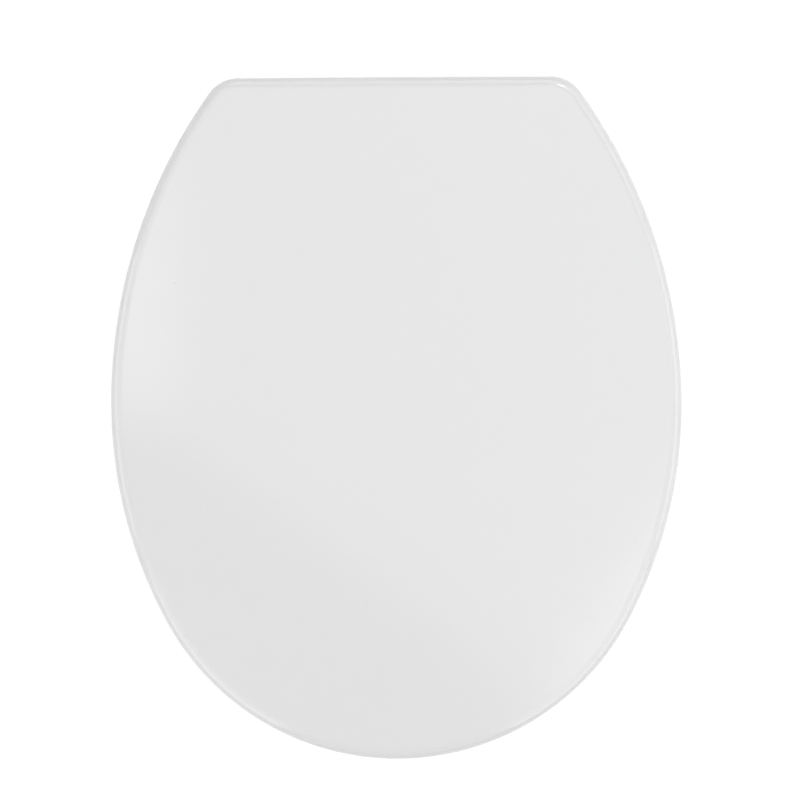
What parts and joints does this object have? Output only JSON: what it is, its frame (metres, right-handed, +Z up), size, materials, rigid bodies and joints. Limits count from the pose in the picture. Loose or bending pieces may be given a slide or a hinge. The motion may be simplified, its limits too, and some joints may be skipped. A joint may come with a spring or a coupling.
{
  "type": "toilet seat",
  "caption": "Closed toilet seat: crowned glossy lid over a moulded ring with an oval opening, on hinge brackets with studs, washers and wing nuts for a bowl.",
  "frame": {"origin": "midway between the two fixing studs, on the plane of the bowl's top face", "axes": "+Z up, +Y towards the hinges, +X to the right as seen from the front"},
  "size_m": [0.375, 0.448, 0.1122],
  "materials": {
    "lid_plastic": "high gloss moulded",
    "ring_plastic": "high gloss moulded",
    "hinge_steel": "satin cast",
    "pin_steel": "ground",
    "clip_steel": "pressed",
    "bush_plastic": "satin moulded",
    "gasket_rubber": "matt",
    "stud_steel": "rolled thread",
    "cone_rubber": "matt",
    "washer_steel": "pressed",
    "nut_plastic": "satin moulded",
    "buffer_rubber": "matt translucent look"
  },
  "bodies": {
    "mounting": {"hinge_bracket_left": "hinge_steel", "hinge_bracket_right": "hinge_steel", "hinge_pin_left": "pin_steel", "hinge_pin_right": "pin_steel", "pin_clip_left": "clip_steel", "pin_clip_right": "clip_steel", "base_gasket_left": "gasket_rubber", "base_gasket_right": "gasket_rubber", "fixing_stud_left": "stud_steel", "fixing_stud_right": "stud_steel", "cone_washer_left": "cone_rubber", "cone_washer_right": "cone_rubber", "flat_washer_left": "washer_steel", "flat_washer_right": "washer_steel", "wing_nut_left": "nut_plastic", "wing_nut_right": "nut_plastic"},
    "seat": {"seat_ring": "ring_plastic", "ring_bush_left": "bush_plastic", "ring_bush_right": "bush_plastic", "ring_buffer_front_left": "buffer_rubber", "ring_buffer_front_right": "buffer_rubber", "ring_buffer_rear_left": "buffer_rubber", "ring_buffer_rear_right": "buffer_rubber"},
    "cover": {"lid": "lid_plastic", "lid_bush_left": "bush_plastic", "lid_bush_right": "bush_plastic", "lid_buffer_front_left": "buffer_rubber", "lid_buffer_front_right": "buffer_rubber", "lid_buffer_rear_left": "buffer_rubber", "lid_buffer_rear_right": "buffer_rubber"}
  },
  "joints": [
    {"name": "seat_hinge", "type": "hinge", "parent": "mounting", "child": "seat", "pos_m": [0, 0.022, 0.023], "axis": [-1, 0, 0], "range_deg": [0, 95]},
    {"name": "lid_hinge", "type": "hinge", "parent": "seat", "child": "cover", "pos_m": [0, 0.022, 0.023], "axis": [1, 0, 0], "range_deg": [-100, 0]}
  ]
}
